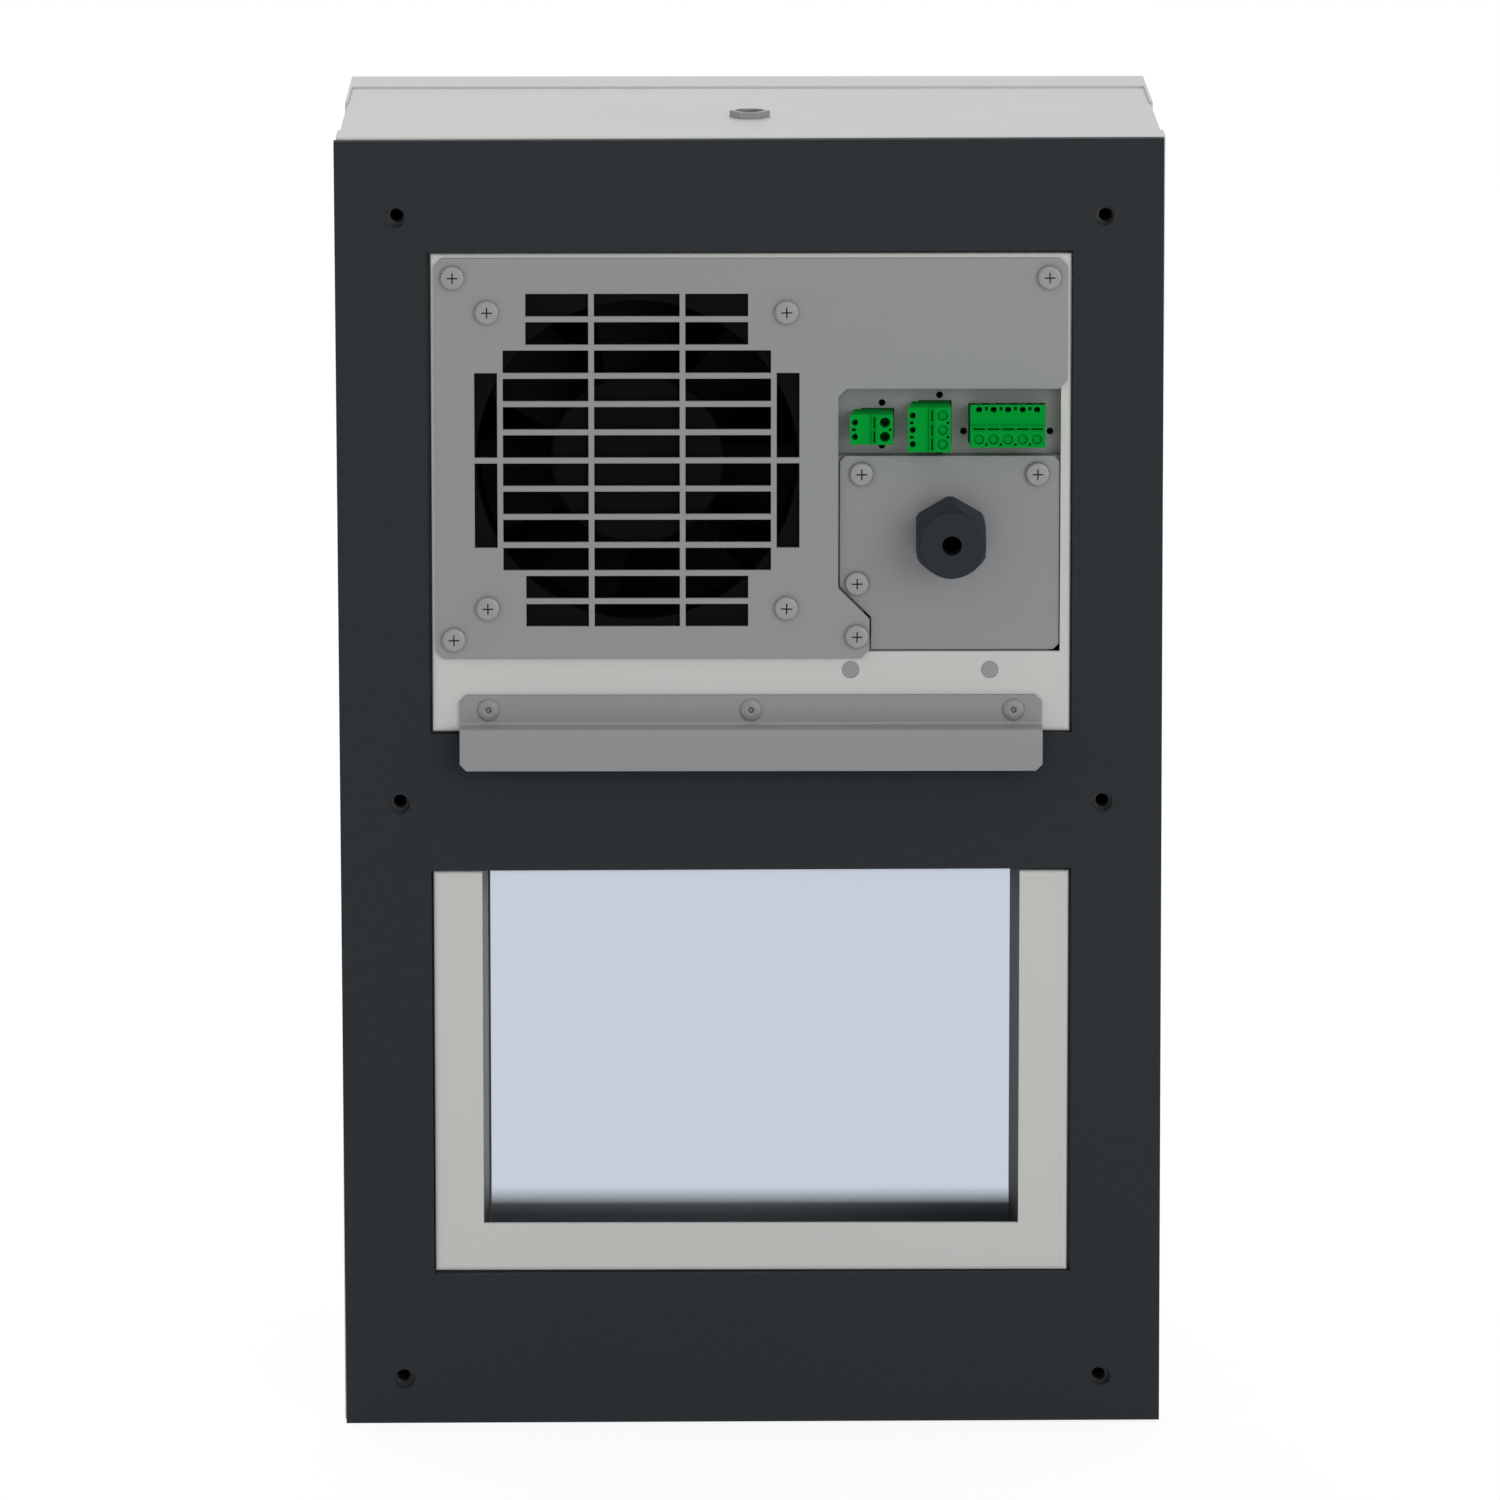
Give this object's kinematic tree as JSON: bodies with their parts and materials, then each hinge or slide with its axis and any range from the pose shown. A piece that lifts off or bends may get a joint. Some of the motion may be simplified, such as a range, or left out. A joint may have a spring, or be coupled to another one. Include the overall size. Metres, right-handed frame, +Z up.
{
  "type": "enclosure cooling unit",
  "caption": "Wall-hung cooling unit for an electrical enclosure: gasketed mounting side with fan guard, terminal bay, hook bracket and cold-air opening, sheet-metal housing behind.",
  "frame": {"origin": "centre of the fixing pattern, on the rear face of the mounting pan that the gasket lies on", "axes": "+Z up, +Y from the enclosure into the unit, +X to the right as seen from the enclosure"},
  "size_m": [0.2916, 0.215, 0.4627],
  "materials": {
    "housing_paint": "fine-textured light grey powder coat",
    "gasket_foam": "matt closed-cell foam with a smooth skin",
    "zinc_sheet": "dull zinc-coated sheet",
    "bright_steel": "zinc-plated, slightly bright",
    "gland_plastic": "dark grey polyamide",
    "black_rubber": "matt black",
    "plug_green": "green polyamide, satin",
    "black_plastic": "black glass-filled plastic",
    "liner_foil": "smooth pale foil facing",
    "white_foam": "moulded bead foam",
    "fin_aluminium": "bare aluminium",
    "copper": "dull copper",
    "compressor_paint": "semi-gloss black",
    "board_green": "coated board",
    "transformer_core": "varnished core and coil"
  },
  "bodies": {
    "unit": {"board_relays": "black_plastic", "board_standoffs": "bright_steel", "board_transformer": "transformer_core", "bracket_rivets": "bright_steel", "capillary_tube": "copper", "cold_fan_frame": "black_plastic", "compressor_base_plate": "compressor_paint", "compressor_bolts": "bright_steel", "compressor_feet": "black_rubber", "compressor_shell": "compressor_paint", "compressor_terminal_cover": "black_plastic", "condensate_tray": "zinc_sheet", "condenser_core": "fin_aluminium", "condenser_headers": "fin_aluminium", "condenser_shroud": "zinc_sheet", "connector_board": "board_green", "connector_panel": "zinc_sheet", "control_board": "board_green", "cover_screws": "bright_steel", "discharge_pipe": "copper", "drain_hose": "black_rubber", "drain_spigot": "black_plastic", "duct_liner": "liner_foil", "evaporator_end_plates": "zinc_sheet", "evaporator_fins": "fin_aluminium", "evaporator_tubes": "copper", "fan_plate": "zinc_sheet", "fan_screws": "bright_steel", "filter_drier": "copper", "flush_studs": "bright_steel", "front_cover": "housing_paint", "gasket": "gasket_foam", "gland_body": "gland_plastic", "gland_lock_nut": "gland_plastic", "gland_plate": "zinc_sheet", "gland_plate_screws": "bright_steel", "gland_seal": "black_rubber", "header_2_pole": "black_plastic", "header_3_pole": "black_plastic", "header_5_pole": "black_plastic", "hook_bracket": "zinc_sheet", "housing_wrap": "housing_paint", "insulation": "white_foam", "lifting_insert": "bright_steel", "liquid_pipe": "copper", "mounting_inserts": "bright_steel", "mounting_pan": "housing_paint", "partition_wall": "zinc_sheet", "plate_screws": "bright_steel", "run_capacitor": "fin_aluminium", "suction_pipe": "copper", "terminal_box": "zinc_sheet", "warm_fan_frame": "black_plastic"},
    "cold_rotor": {"cold_fan_rotor": "black_plastic"},
    "warm_rotor": {"warm_fan_rotor": "black_plastic"},
    "plug_2": {"plug_2_pole": "plug_green"},
    "plug_3": {"plug_3_pole": "plug_green"},
    "plug_5": {"plug_5_pole": "plug_green"},
    "gland_dome": {"gland_nut": "gland_plastic"}
  },
  "joints": [
    {"name": "cold_fan_spin", "type": "hinge", "parent": "unit", "child": "cold_rotor", "pos_m": [-0.04, 0.015, 0.1225], "axis": [0, 1, 0], "continuous": true},
    {"name": "warm_fan_spin", "type": "hinge", "parent": "unit", "child": "warm_rotor", "pos_m": [0, 0.143, -0.115], "axis": [0, 1, 0], "continuous": true},
    {"name": "plug_2_pull", "type": "slide", "parent": "unit", "child": "plug_2", "axis": [0, -1, 0], "range_m": [0, 0.02]},
    {"name": "plug_3_pull", "type": "slide", "parent": "unit", "child": "plug_3", "axis": [0, -1, 0], "range_m": [0, 0.02]},
    {"name": "plug_5_pull", "type": "slide", "parent": "unit", "child": "plug_5", "axis": [0, -1, 0], "range_m": [0, 0.02]},
    {"name": "gland_turn", "type": "hinge", "parent": "unit", "child": "gland_dome", "pos_m": [0.07, -0.02, 0.096], "axis": [0, -1, 0], "range_deg": [0, 360]}
  ]
}
